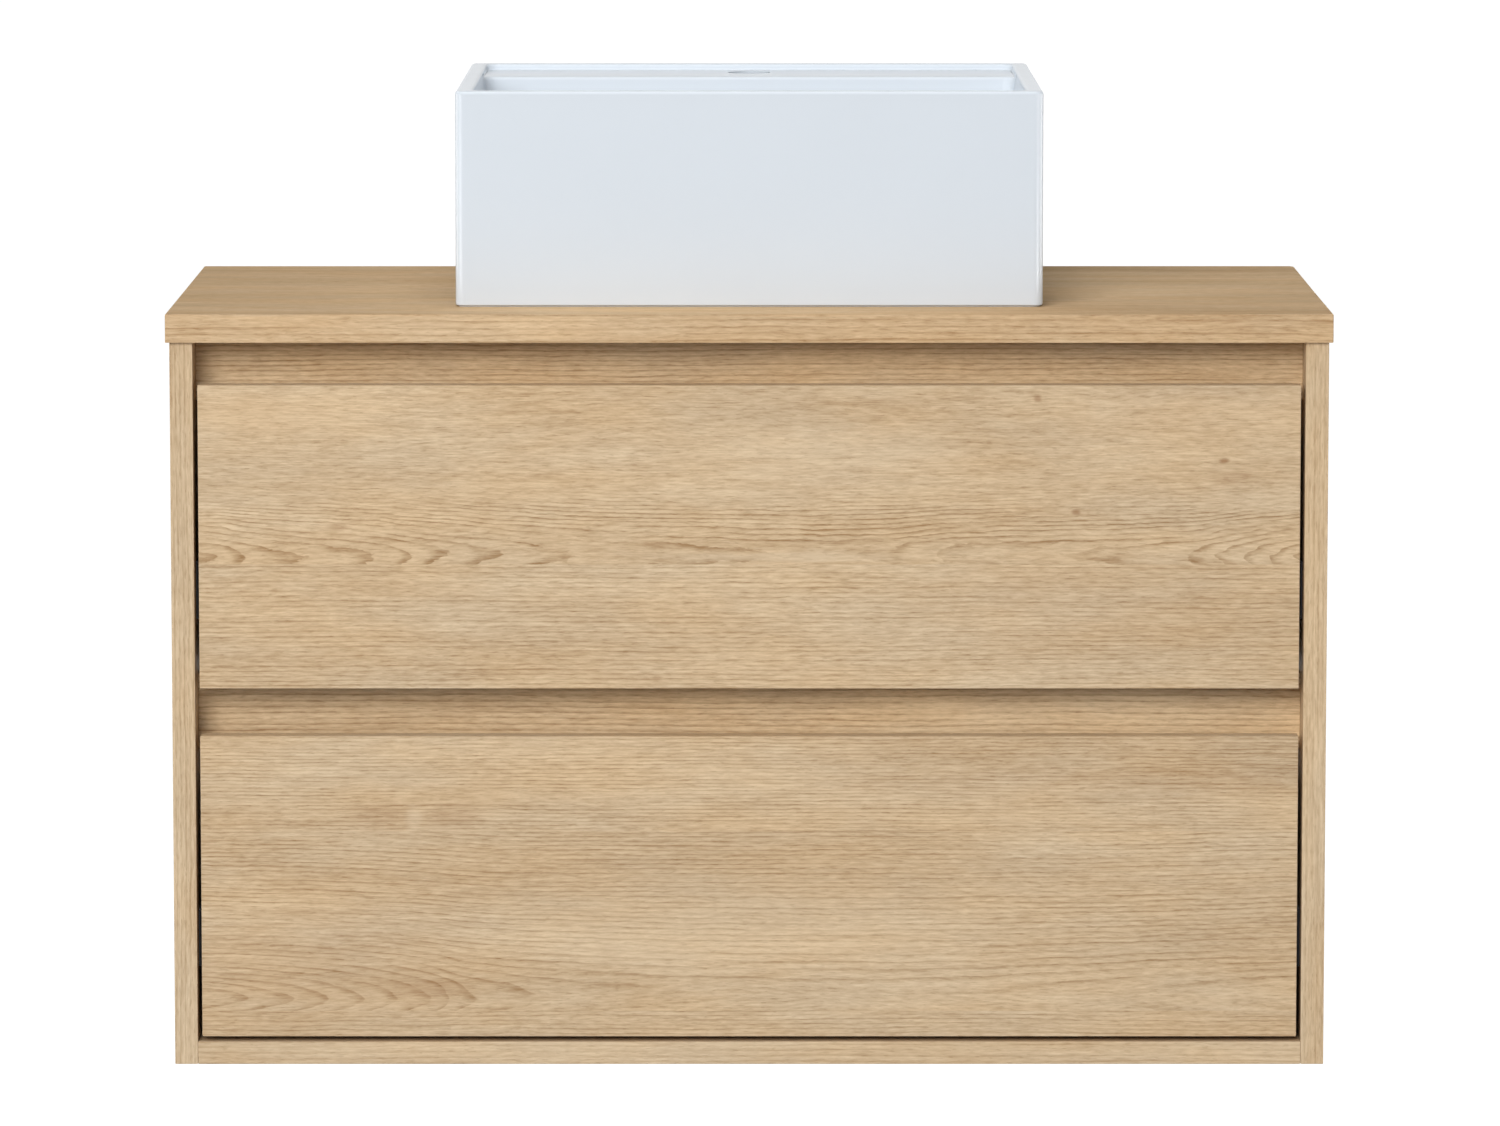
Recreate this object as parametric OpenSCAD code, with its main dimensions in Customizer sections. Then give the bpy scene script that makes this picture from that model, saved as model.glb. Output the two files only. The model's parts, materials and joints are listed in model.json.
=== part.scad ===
// Wall-hung vanity unit with two handleless drawers and a rectangular counter-top basin.
// X runs along the wall, +Y points into the wall and +Z is up. The origin lies on the wall
// plane, at the centre of the four screw holes in the plates that the cabinet hangs on.

/* [Cabinet] */
// Width of the cabinet over its side panels
cab_w = 900; // [720:10:1200]
// Height of the cabinet below the worktop
cab_h = 568; // [470:1:700]
// Thickness of the carcass boards
board = 18; // [15:1:22]
// Depth of the finger recess, from the cabinet's front to the rail behind it
recess_set = 34; // [30:1:45]
// Height of the recess between the worktop and the upper drawer front
recess_top = 33.5; // [25:0.5:45]
// Height of the recess between the two drawer fronts
recess_mid = 37.5; // [25:0.5:50]
// How far a recess rail reaches down behind the top of the front below it
rail_cover = 15; // [8:1:25]
// How far the middle rail reaches up behind the upper front
rail_lap = 8; // [3:1:11]
// Depth of the board that stiffens the top behind the upper recess rail
stretcher_d = 80; // [60:5:90]
// Height of the two back rails
back_rail_h = 100; // [80:1:105]
// Gap between the back rails and the wall
back_inset = 18; // [16:1:30]

/* [Worktop] */
// Depth of the worktop from the wall
top_d = 460; // [450:5:600]
// Thickness of the worktop
top_t = 22; // [16:1:40]
// Overhang of the worktop at each side
side_over = 3; // [0:1:10]
// Overhang of the worktop at the front
front_over = 4; // [0:1:12]
// Diameter of the worktop's hole for the waste
waste_cut = 50; // [45:1:58]
// Diameter of the worktop's hole for the tap's hoses
hose_cut = 40; // [30:1:44]

/* [Drawers] */
// Thickness of the drawer fronts
front_t = 18; // [15:1:22]
// Gap at each side of a drawer front
front_gap = 3.5; // [2:0.5:5]
// Gap below the lower drawer front
foot_gap = 4; // [2:0.5:8]
// Thickness of the drawer box's sides, front and back
box_t = 16; // [12:1:18]
// Thickness of the drawer bottoms
floor_t = 8; // [5:1:10]
// Height of a drawer box's lower edge above its front's lower edge
box_lift = 15; // [12:1:25]
// Free height between a drawer box and the rail above it
box_head = 22; // [5:1:60]
// Gap between a drawer box and the back rails
box_rear = 4; // [2:1:20]
// Height of the drawer bottom above the box's lower edge
floor_up = 12; // [8:1:20]
// Depth of the groove that holds the drawer bottom
groove_d = 6; // [4:1:8]
// Play of the drawer bottom in its groove
groove_fit = 0.3; // [0.1:0.1:0.5]
// Thickness of the boards around the trap bay
bay_t = 12; // [9:1:16]
// Width of the bay that the upper drawer leaves around the trap
bay_w = 200; // [120:5:300]
// Reach of the trap bay in front of the waste's axis
bay_reach = 85; // [60:1:110]

/* [Runners] */
// Height of a runner
runner_h = 45; // [35:1:45]
// Thickness of a closed runner between side panel and drawer
runner_t = 12.7; // [12.7:0.1:14]
// Sheet thickness of the runner members
sheet = 1.2; // [1:0.1:1.5]
// Gap of the ball races between two runner members
race = 0.5; // [0.3:0.1:0.8]
// Height of a runner's middle above the drawer box's lower edge
runner_up = 60; // [40:1:90]

/* [Basin] */
// Width of the basin
basin_w = 460; // [380:5:560]
// Depth of the basin from front to back
basin_d = 390; // [330:5:430]
// Height of the basin
basin_h = 168; // [130:1:220]
// Gap between the basin and the wall
basin_back = 4; // [2:1:15]
// Thickness of the basin's walls
wall = 13; // [10:0.5:18]
// Radius of the basin's outer upright corners
corner_r = 7; // [3:1:20]
// Radius of the basin's inner upright corners
inner_r = 10; // [8:1:35]
// Depth of the tap deck below the rim
deck_drop = 5; // [4:1:20]
// Depth of the tap deck from the back wall to the bowl
deck_d = 95; // [80:1:110]
// Thickness of the tap deck and of the wall between deck and bowl
deck_t = 12; // [9:1:15]
// Diameter of the tap hole
tap_hole = 35; // [30:1:38]
// Distance of the tap hole from the inside of the back wall
tap_back = 35; // [28:1:50]
// Depth of the bowl below the rim, beside the floor's fall
bowl_depth = 130; // [90:1:135]
// How far the bowl's walls lean inwards from top to bottom
draft = 22; // [5:1:40]
// Fall of the bowl's floor to the waste
floor_fall = 8; // [4:1:10]
// Height of the hollow under the bowl
foot_h = 18; // [8:1:20]
// Radius of the boss around the waste hole, under the bowl
boss_r = 42; // [36:1:60]
// Thickness of the sealant bead under the basin
bead_t = 1; // [0.5:0.5:3]
// Width of the sealant bead
bead_w = 7; // [4:1:9]
// How far the bead stays behind the basin's outer faces
bead_set = 2.5; // [1:0.5:4]

/* [Waste and trap] */
// Diameter of the waste hole in the basin
waste_hole = 46; // [44:1:50]
// Outer diameter of the waste's threaded barrel
barrel_od = 41.9; // [40:0.1:43]
// Wall of the waste's barrel
barrel_wall = 2.4; // [1.5:0.1:3]
// Diameter of the waste's flange
flange_od = 64; // [60:1:70]
// Thickness of the waste's flange
flange_t = 2.5; // [2:0.5:4]
// Length of the barrel below the worktop
barrel_below = 45; // [40:1:60]
// Thickness of the rubber rings at the waste
ring_t = 2; // [1:0.5:4]
// Height of the lock nut under the worktop
nut_h = 12; // [8:1:15]
// Diameter of the plug's stem
stem_d = 8; // [6:0.5:10]
// Running clearance of the plug's stem on the radius
stem_fit = 0.08; // [0.05:0.01:0.1]
// Travel of the plug from shut to open
plug_lift = 9; // [6:0.5:12]
// Diameter of the trap's pipes
pipe_od = 32; // [30:1:32]
// Wall of the trap's pipes
pipe_wall = 1.5; // [1:0.1:2]
// Diameter of the trap's bottle
bottle_od = 60; // [50:1:70]
// Wall of the trap's bottle
bottle_wall = 2.5; // [1.5:0.1:3]
// Distance of the outlet pipe's axis below the worktop
outlet_drop = 128; // [125:1:150]
// Height of the trap's body above the outlet's axis
bottle_up = 28; // [24:1:36]
// Height of the trap's body below the outlet's axis
bottle_low = 45; // [30:1:60]
// Height of the trap's screw-off cup
cup_h = 55; // [40:1:70]

/* [Hanging] */
// Distance of the wall fixing below the worktop
fixing_drop = 60; // [55:1:70]
// Distance between the two screw holes of a wall plate
plate_pitch = 32; // [25:1:36]
// Diameter of the wall plates' screw holes
plate_hole = 8; // [6:0.5:10]
// Width of a wall plate
plate_w = 58; // [40:1:80]
// Thickness of the wall plates' steel
plate_t = 2.5; // [2:0.5:3]
// Thickness of the hooks' steel
hook_t = 4; // [3:0.5:5]
// Width of a hanger's casing
hanger_w = 18; // [15:1:22]
// Depth of a hanger's casing
hanger_d = 60; // [50:1:80]
// Gap between a piece and the seat it hangs or rests on
seat_gap = 0.3; // [0.1:0.1:0.5]

/* [Fasteners] */
// Radius of the cam discs
cam_r = 7.5; // [6:0.5:8]
// Depth of the cam discs' seats
cam_h = 12.5; // [10:0.5:13]
// Distance of a cam's axis from the board's end
cam_set = 34; // [24:1:40]
// Radius of the cam bolts
bolt_r = 3.5; // [3:0.5:3.5]
// Radius of the dowels
dowel_r = 4; // [3:0.5:4]
// Distance between a joint's cam bolt and its dowel
dowel_pitch = 24; // [20:1:32]
// Depth of the bolts and dowels in the side panels
side_bite = 11; // [8:1:12]
// Radius of the wood screws
screw_r = 2; // [1.5:0.1:2.5]
// Depth of a screw in the board that it holds
screw_bite = 12; // [8:1:13]
// Clearance of every fastener in its hole, on the radius
hole_fit = 0.05; // [0.02:0.01:0.2]
// Leg of the angle brackets under the worktop
angle_leg = 40; // [30:1:40]
// Width of the angle brackets
angle_w = 20; // [15:1:30]
// Thickness of the angle brackets
angle_t = 2; // [1.5:0.5:3]

/* [Hidden] */
$fn = 48;

oak = [0.80, 0.69, 0.55];
oak_dark = [0.70, 0.58, 0.44];
box_grey = [0.82, 0.82, 0.80];
ceramic = [0.93, 0.94, 0.95];
chrome = [0.78, 0.79, 0.80];
steel = [0.66, 0.67, 0.69];
black_rubber = [0.10, 0.10, 0.10];
runner_black = [0.13, 0.13, 0.14];
beech = [0.78, 0.62, 0.42];

// Half of the clear width between the side panels
in_x = cab_w / 2 - board;
// Front of the cabinet, front of the recess rails and front of the back rails
case_y = front_over - top_d;
rail_y = case_y + recess_set;
back_y = -back_inset - board;
// Worktop's underside and top, and the cabinet's lowest face
under_z = fixing_drop;
deck_z = under_z + top_t;
base_z = under_z - cab_h;
// Height of each drawer front, and the lower edges of the two fronts
front_h = (cab_h - board - foot_gap - recess_mid - recess_top) / 2;
low_z = base_z + board + foot_gap;
high_z = low_z + front_h + recess_mid;
top_rail_z = high_z + front_h - rail_cover;
mid_rail_z = low_z + front_h - rail_cover;
mid_rail_top = high_z + rail_lap;

// Drawer boxes
box_h = front_h - box_lift - rail_cover - box_head;
box_x = in_x - runner_t;
box_y0 = case_y + front_t;
box_y1 = back_y - box_rear;
front_x = in_x - front_gap;

// Runners: the longest stock length, in steps of 50 mm, that fits behind the front
runner_lead = 2;
runner_y = box_y0 + runner_lead;
runner_l = 50 * floor((back_y - runner_y) / 50 + 0.001);
runner_end = min(runner_y + runner_l, box_y1);

// Basin, seen from its own lowest face
basin_z = deck_z + bead_t;
basin_y1 = -basin_back;
basin_y0 = basin_y1 - basin_d;
basin_mid = (basin_y0 + basin_y1) / 2;
rim_z = basin_z + basin_h;
deck_top = rim_z - deck_drop;
bowl_y0 = basin_y0 + wall;
bowl_y1 = basin_y1 - wall - deck_d;
bowl_mid = (bowl_y0 + bowl_y1) / 2;
bowl_w = basin_w - 2 * wall;
bowl_d = bowl_y1 - bowl_y0;
floor_z = rim_z - bowl_depth;
seat_z = floor_z - floor_fall;
tap_y = basin_y1 - wall - tap_back;
hose_y = min(tap_y, back_y - 4 - hose_cut / 2);

// Waste and trap, on one upright axis through the bowl's middle
waste_y = bowl_mid;
barrel_r = barrel_od / 2;
bore_r = barrel_r - barrel_wall;
flange_z = seat_z + ring_t;
barrel_z = under_z - barrel_below;
washer_z = under_z - ring_t;
cartridge_h = 22;
sleeve_wall = 2.5;
plug_z = flange_z + flange_t + seat_gap;
plug_t = 6;
stem_low = flange_z - cartridge_h + 5 - plug_lift;
pipe_r = pipe_od / 2;
collar_r = barrel_r - 1;
collar_t = 3;
tube_top = barrel_z - seat_gap;
inlet_nut_low = 15;
inlet_nut_up = 10;
outlet_z = under_z - outlet_drop;
bottle_r = bottle_od / 2;
bottle_top = outlet_z + bottle_up;
bottle_base = outlet_z - bottle_low;
socket_l = 48;
slip_nut_l = 22;
slip_nut_y = waste_y + socket_l - 12;
pipe_y0 = waste_y + bottle_r + 4;
mark_at = slip_nut_y + slip_nut_l + 2 - pipe_y0;

// Wall plates and hooks, in height above the origin
plate_x = in_x - 2 - plate_w / 2;
plate_low = -plate_pitch / 2 - 20;
plate_step = plate_pitch / 2 + 6;
plate_rise = 14;
plate_out = 9;
hook_x = in_x - hanger_w / 2;
hook_z = plate_step + plate_rise + seat_gap;
hook_h = 5;
arm_drop = 12;
arm_y = back_y - hanger_d + 8;
tip_y = plate_out - plate_t - 0.5;
tip_t = 3;
adjuster_r = 3;
adjuster_l = 6;
case_wall = 8;
case_low = hook_z - arm_drop - case_wall;
case_top = hook_z + hook_h + case_wall;
notch_w = hanger_w + 2;

// Every corner joint of the carcass, as [y, z of the cam bolt, the way its disc faces].
// The disc faces up, down, back or front out of the board that it draws to the side panel.
rail_mid = rail_y + board / 2;
back_mid = back_y + board / 2;
joints = [
    [case_y + 26, base_z + board / 2, "up"],
    [-70, base_z + board / 2, "up"],
    [rail_y + board + 20 + dowel_pitch, under_z - board / 2, "down"],
    [rail_mid, (top_rail_z + under_z) / 2 + 10, "back"],
    [rail_mid, (mid_rail_z + mid_rail_top) / 2 + 10, "back"],
    [back_mid, under_z - back_rail_h + 30, "front"],
    [back_mid, base_z + board + back_rail_h / 2, "front"]
];
bracket_y = [case_y + 150, back_y - 110];
stretcher_screws = [for (i = [-1:1]) i * cab_w / 3];
stretcher_mid = rail_y + board + stretcher_d * 0.7;

// ---- Shared shapes -------------------------------------------------------------------

// A block between its lowest and highest corners
module block(lo, hi) translate(lo) cube(hi - lo);

module both_sides() {
    children();
    mirror([1, 0, 0]) children();
}

// Outline of a rectangle with round corners, centred on the origin
function round_plan(w, d, r, steps = 8) = [
    for (q = [0:3], i = [0:steps])
        let (a = 90 * (q + i / steps),
             sx = (q == 0 || q == 3) ? 1 : -1,
             sy = q < 2 ? 1 : -1)
        [sx * (w / 2 - r) + r * cos(a), sy * (d / 2 - r) + r * sin(a)]
];

module round_slab(w, d, r, z, h, y = 0)
    translate([0, y, z]) linear_extrude(h) polygon(round_plan(w, d, r));

module ring(r_in, r_out, z, h) translate([0, 0, z]) difference() {
    cylinder(r = r_out, h = h);
    translate([0, 0, -1]) cylinder(r = r_in, h = h + 2);
}

// A pan-head screw along +Z with the underside of its head at the origin
module screw(length) rotate_extrude() polygon([
    [0, -2.2], [2.6, -2.2], [4, -0.9], [4, 0],
    [screw_r, 0], [screw_r, length - 3], [0, length]
]);

module screw_hole(length)
    translate([0, 0, -1]) cylinder(r = screw_r + hole_fit, h = length + 1 + seat_gap);

// ---- Carcass joints ------------------------------------------------------------------

// Puts a joint's own frame at its cam: +X points to the side panel, +Z out of the disc's face
module at_joint(j) translate([in_x - cam_set, j[0], j[1]])
    if (j[2] == "up") children();
    else if (j[2] == "down") rotate([180, 0, 0]) children();
    else if (j[2] == "back") rotate([-90, 0, 0]) children();
    else rotate([90, 0, 0]) children();

module cam_disc(r) translate([0, 0, board / 2 - cam_h]) cylinder(r = r, h = cam_h);

module cam_bolt(r, from) translate([from, 0, 0]) rotate([0, 90, 0])
    cylinder(r = r, h = cam_set + side_bite - from);

module dowel(r) translate([cam_set - side_bite - 8, dowel_pitch, 0]) rotate([0, 90, 0])
    cylinder(r = r, h = 2 * side_bite + 8);

// Seats of all the joints, cut from the boards and the side panels alike
module joint_seats() both_sides() for (j = joints) at_joint(j) {
    translate([0, 0, board / 2 - cam_h]) cylinder(r = cam_r, h = cam_h + 1);
    cam_bolt(bolt_r + hole_fit, 0);
    dowel(dowel_r + hole_fit);
}

// ---- Carcass -------------------------------------------------------------------------

module bracket_side_screws(cut = false) for (y = bracket_y)
    translate([in_x - angle_t, y, under_z - angle_leg * 0.65]) rotate([0, 90, 0])
        if (cut) screw_hole(angle_t + screw_bite); else screw(angle_t + screw_bite);

module bracket_top_screws(cut = false) for (y = bracket_y)
    translate([in_x - angle_leg * 0.65, y, under_z - angle_t])
        if (cut) screw_hole(angle_t + screw_bite); else screw(angle_t + screw_bite);

module stretcher_top_screws(cut = false) for (x = stretcher_screws)
    translate([x, stretcher_mid, under_z - board])
        if (cut) screw_hole(board + screw_bite); else screw(board + screw_bite);

module side_panel() color(oak) difference() {
    block([in_x, case_y, base_z], [cab_w / 2, 0, under_z]);
    joint_seats();
    bracket_side_screws(cut = true);
}

module side_panel_right() side_panel();
module side_panel_left() mirror([1, 0, 0]) side_panel();

module bottom_panel() color(oak) difference() {
    block([-in_x, case_y, base_z], [in_x, 0, base_z + board]);
    joint_seats();
}

module top_recess_rail() color(oak) difference() {
    block([-in_x, rail_y, top_rail_z], [in_x, rail_y + board, under_z]);
    joint_seats();
}

module front_stretcher() color(oak_dark) difference() {
    block([-in_x, rail_y + board, under_z - board],
          [in_x, rail_y + board + stretcher_d, under_z]);
    joint_seats();
    stretcher_top_screws(cut = true);
}

module middle_recess_rail() color(oak) difference() {
    block([-in_x, rail_y, mid_rail_z], [in_x, rail_y + board, mid_rail_top]);
    joint_seats();
}

// The upper back rail leaves a notch at each end for the hanger's hook
module back_rail_upper() color(oak_dark) difference() {
    block([-in_x, back_y, under_z - back_rail_h], [in_x, back_y + board, under_z]);
    joint_seats();
    both_sides() block([in_x - notch_w, back_y - 1, hook_z - arm_drop - 2],
                       [in_x + 1, back_y + board + 1, under_z + 1]);
}

module back_rail_lower() color(oak_dark) difference() {
    block([-in_x, back_y, base_z + board], [in_x, back_y + board, base_z + board + back_rail_h]);
    joint_seats();
}

module dowels() color(beech) both_sides() for (j = joints) at_joint(j) dowel(dowel_r);

module cam_discs() color(steel) both_sides() for (j = joints) at_joint(j) difference() {
    cam_disc(cam_r - hole_fit);
    cam_bolt(bolt_r + hole_fit, 0);
    translate([0, 0, board / 2 - 2]) cube([1.4, 2 * cam_r - 4, 5], center = true);
}

module cam_bolts() color(steel) both_sides() for (j = joints) at_joint(j) cam_bolt(bolt_r, 0.5);

// ---- Worktop -------------------------------------------------------------------------

module worktop() color(oak) difference() {
    block([-cab_w / 2 - side_over, -top_d, under_z], [cab_w / 2 + side_over, 0, deck_z]);
    translate([0, waste_y, under_z - 1]) cylinder(d = waste_cut, h = top_t + 2);
    translate([0, hose_y, under_z - 1]) cylinder(d = hose_cut, h = top_t + 2);
    both_sides() bracket_top_screws(cut = true);
    stretcher_top_screws(cut = true);
}

module worktop_brackets() color(steel) both_sides() for (y = bracket_y) difference() {
    translate([in_x, y + angle_w / 2, under_z]) rotate([90, 0, 0]) linear_extrude(angle_w)
        polygon([[0, 0], [-angle_leg, 0], [-angle_leg, -angle_t],
                 [-angle_t, -angle_t], [-angle_t, -angle_leg], [0, -angle_leg]]);
    bracket_side_screws(cut = true);
    bracket_top_screws(cut = true);
}

module worktop_screws() color(steel) {
    both_sides() {
        bracket_side_screws();
        bracket_top_screws();
    }
    stretcher_top_screws();
}

// ---- Hangers and wall plates ---------------------------------------------------------

// The casing guides the hook's arm in a slot, and holds the two adjusting screws
module hanger_case() color(box_grey) difference() {
    block([in_x - hanger_w, back_y - hanger_d, case_low], [in_x, back_y, case_top]);
    block([hook_x - hook_t / 2 - seat_gap, arm_y - seat_gap, hook_z - arm_drop - seat_gap],
          [hook_x + hook_t / 2 + seat_gap, back_y + 1, hook_z + hook_h + seat_gap]);
    at_hanger_screws() translate([0, 0, -1]) cylinder(r = adjuster_r + hole_fit, h = adjuster_l + 1);
}

module at_hanger_screws() for (x = [-adjuster_r - 1, adjuster_r + 1])
    translate([hook_x + x, back_y - hanger_d, case_low + 5]) rotate([-90, 0, 0]) children();

module hanger_screws() color(steel) both_sides() at_hanger_screws() difference() {
    cylinder(r = adjuster_r, h = adjuster_l);
    cube([5, 1, 2], center = true);
}

// The hook reaches out of its case, over the wall plate's upstand and down behind it
module hanger_hook() color(steel) translate([hook_x + hook_t / 2, 0, 0]) rotate([90, 0, -90])
    linear_extrude(hook_t) polygon([
        [-arm_y, hook_z - arm_drop], [plate_out + 1, hook_z - arm_drop],
        [plate_out + 1, hook_z], [tip_y, hook_z], [tip_y, hook_z - plate_rise + 4],
        [tip_y - tip_t, hook_z - plate_rise + 4], [tip_y - tip_t, hook_z + hook_h],
        [-arm_y, hook_z + hook_h]
    ]);

module wall_plate() color(steel) difference() {
    translate([plate_x + plate_w / 2, 0, 0]) rotate([90, 0, -90])
        linear_extrude(plate_w) polygon([
            [0, plate_low], [plate_t, plate_low], [plate_t, plate_step - plate_t],
            [plate_out, plate_step - plate_t], [plate_out, plate_step + plate_rise],
            [plate_out - plate_t, plate_step + plate_rise],
            [plate_out - plate_t, plate_step], [0, plate_step]
        ]);
    for (z = [-plate_pitch / 2, plate_pitch / 2])
        translate([plate_x, 1, z]) rotate([90, 0, 0]) cylinder(d = plate_hole, h = plate_t + 2);
}

module hanger_case_right() hanger_case();
module hanger_case_left() mirror([1, 0, 0]) hanger_case();
module hanger_hook_right() hanger_hook();
module hanger_hook_left() mirror([1, 0, 0]) hanger_hook();
module wall_plate_right() wall_plate();
module wall_plate_left() mirror([1, 0, 0]) wall_plate();

// ---- Basin ---------------------------------------------------------------------------

// Space of the bowl: leaning walls down to a floor that falls to the waste
module bowl_space() {
    hull() {
        round_slab(bowl_w, bowl_d, inner_r, deck_top, 0.1, bowl_mid);
        round_slab(bowl_w - 2 * draft, bowl_d - 2 * draft, inner_r, floor_z, 0.1, bowl_mid);
    }
    hull() {
        round_slab(bowl_w - 2 * draft, bowl_d - 2 * draft, inner_r, floor_z, 0.1, bowl_mid);
        translate([0, waste_y, seat_z]) cylinder(d = flange_od + 3, h = 0.1);
    }
}

// Hollow underside, open to the worktop, with a boss left standing around the waste
module basin_hollow() {
    difference() {
        round_slab(bowl_w, basin_d - 2 * wall, corner_r, basin_z - 1, foot_h + 1, basin_mid);
        translate([0, waste_y, basin_z - 2]) cylinder(r = boss_r, h = foot_h + 4);
    }
    block([-bowl_w / 2, bowl_y1 + deck_t, basin_z - 1],
          [bowl_w / 2, basin_y1 - wall, deck_top - deck_t]);
}

module basin() color(ceramic) difference() {
    round_slab(basin_w, basin_d, corner_r, basin_z, basin_h, basin_mid);
    round_slab(bowl_w, basin_d - 2 * wall, inner_r, deck_top, deck_drop + 1, basin_mid);
    bowl_space();
    basin_hollow();
    translate([0, waste_y, basin_z - 1]) cylinder(d = waste_hole, h = seat_z - basin_z + 2);
    translate([0, tap_y, deck_top - deck_t - 1]) cylinder(d = tap_hole, h = deck_t + 2);
}

module basin_sealant() color(box_grey) difference() {
    round_slab(basin_w - 2 * bead_set, basin_d - 2 * bead_set, corner_r - 1, deck_z, bead_t,
               basin_mid);
    round_slab(basin_w - 2 * bead_set - 2 * bead_w, basin_d - 2 * bead_set - 2 * bead_w,
               corner_r - 1, deck_z - 1, bead_t + 2, basin_mid);
}

// ---- Waste ---------------------------------------------------------------------------

module at_waste() translate([0, waste_y, 0]) children();

module waste_body() color(chrome) at_waste() rotate_extrude() polygon([
    [bore_r, barrel_z], [barrel_r, barrel_z], [barrel_r, flange_z],
    [flange_od / 2, flange_z], [flange_od / 2, flange_z + flange_t - 1],
    [flange_od / 2 - 1.5, flange_z + flange_t], [bore_r + 3, flange_z + flange_t],
    [bore_r, flange_z + flange_t - 3]
]);

module waste_top_ring() color(black_rubber) at_waste()
    ring(barrel_r + 0.2, flange_od / 2 - 1.5, seat_z, ring_t);

// Cross bars and a sleeve that guide the plug's stem inside the barrel
module waste_cartridge() color(box_grey) at_waste() difference() {
    union() {
        ring(bore_r - 2.2, bore_r - hole_fit, flange_z - cartridge_h, 8);
        translate([0, 0, flange_z - cartridge_h])
            cylinder(r = stem_d / 2 + sleeve_wall, h = cartridge_h - 6);
        for (a = [0, 90]) rotate([0, 0, a])
            translate([-bore_r + 1, -1.5, flange_z - cartridge_h])
                cube([2 * bore_r - 2, 3, 5]);
    }
    translate([0, 0, flange_z - cartridge_h - 1])
        cylinder(r = stem_d / 2 + stem_fit, h = cartridge_h + 2);
}

module waste_plug() color(chrome) at_waste() rotate_extrude() polygon([
    [0, stem_low], [stem_d / 2, stem_low],
    [stem_d / 2, flange_z - 2], [bore_r - 4, flange_z - 2], [bore_r - 4, plug_z],
    [flange_od / 2 - 1, plug_z], [flange_od / 2 - 0.5, plug_z + 1.5],
    for (i = [0:8]) let (a = 90 * i / 8)
        [(flange_od / 2 - 3) * cos(a), plug_z + 3.5 + (plug_t - 3.5) * sin(a)]
]);

module waste_plug_seal() color(black_rubber) at_waste()
    ring(bore_r - 4 + hole_fit, bore_r - 0.4, flange_z - 1.8, 2);

module waste_washer() color(black_rubber) at_waste()
    ring(barrel_r + 0.2, waste_cut / 2 + 7, washer_z, ring_t);

module waste_lock_nut() color(chrome) at_waste() difference() {
    translate([0, 0, washer_z - nut_h]) cylinder(r = waste_cut / 2 + 6, h = nut_h, $fn = 8);
    translate([0, 0, washer_z - nut_h - 1]) cylinder(r = barrel_r + hole_fit, h = nut_h + 2);
}

// ---- Trap ----------------------------------------------------------------------------

module trap_inlet_nut() color(chrome) at_waste() rotate_extrude() polygon([
    [barrel_r + hole_fit, barrel_z + inlet_nut_up], [barrel_r + 5, barrel_z + inlet_nut_up],
    [barrel_r + 5, barrel_z - inlet_nut_low + 3], [barrel_r + 2, barrel_z - inlet_nut_low],
    [pipe_r + hole_fit, barrel_z - inlet_nut_low],
    [pipe_r + hole_fit, tube_top - collar_t - hole_fit],
    [barrel_r + hole_fit, tube_top - collar_t - hole_fit]
]);

// Dip tube: hangs by its collar in the inlet nut and ends below the outlet
module trap_inlet_tube() color(chrome) at_waste() rotate_extrude() polygon([
    [pipe_r - pipe_wall, tube_top], [collar_r, tube_top], [collar_r, tube_top - collar_t],
    [pipe_r, tube_top - collar_t], [pipe_r, bottle_base - 8],
    [pipe_r - pipe_wall, bottle_base - 8]
]);

module trap_body() color(chrome) at_waste() difference() {
    union() {
        rotate_extrude() polygon([
            [0, bottle_base], [bottle_r, bottle_base], [bottle_r, bottle_top - 6],
            [bottle_r - 6, bottle_top], [pipe_r + 6, bottle_top],
            [pipe_r + 6, bottle_top + 14], [0, bottle_top + 14]
        ]);
        translate([0, 0, outlet_z]) rotate([-90, 0, 0])
            cylinder(r = pipe_r + 3, h = socket_l);
    }
    translate([0, 0, bottle_base - 1])
        cylinder(r = bottle_r - bottle_wall, h = bottle_top - 8 - bottle_base + 1);
    translate([0, 0, bottle_base]) cylinder(r = pipe_r + hole_fit, h = 200);
    translate([0, 0, outlet_z]) rotate([-90, 0, 0])
        cylinder(r = pipe_r + hole_fit, h = socket_l + 1);
}

module trap_cup() color(chrome) at_waste() rotate_extrude() polygon([
    [0, bottle_base - cup_h], [bottle_r - 10, bottle_base - cup_h],
    for (i = [0:6]) let (a = 90 * i / 6)
        [bottle_r - 8 + 8 * sin(a), bottle_base - cup_h + 8 - 8 * cos(a)],
    [bottle_r, bottle_base - 14], [bottle_r + 3, bottle_base - 12],
    [bottle_r + 3, bottle_base + 6], [bottle_r + hole_fit, bottle_base + 6],
    [bottle_r + hole_fit, bottle_base - hole_fit],
    [bottle_r - bottle_wall, bottle_base - hole_fit],
    [bottle_r - bottle_wall, bottle_base - cup_h + bottle_wall + 4],
    [0, bottle_base - cup_h + bottle_wall]
]);

module trap_outlet_nut() color(chrome) translate([0, slip_nut_y, outlet_z])
    rotate([-90, 0, 0]) rotate_extrude() polygon([
        [pipe_r + 3 + hole_fit, 0], [pipe_r + 8, 0], [pipe_r + 8, slip_nut_l - 4],
        [pipe_r + 4, slip_nut_l], [pipe_r + hole_fit, slip_nut_l],
        [pipe_r + hole_fit, 12 + seat_gap], [pipe_r + 3 + hole_fit, 12 + seat_gap]
    ]);

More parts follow.
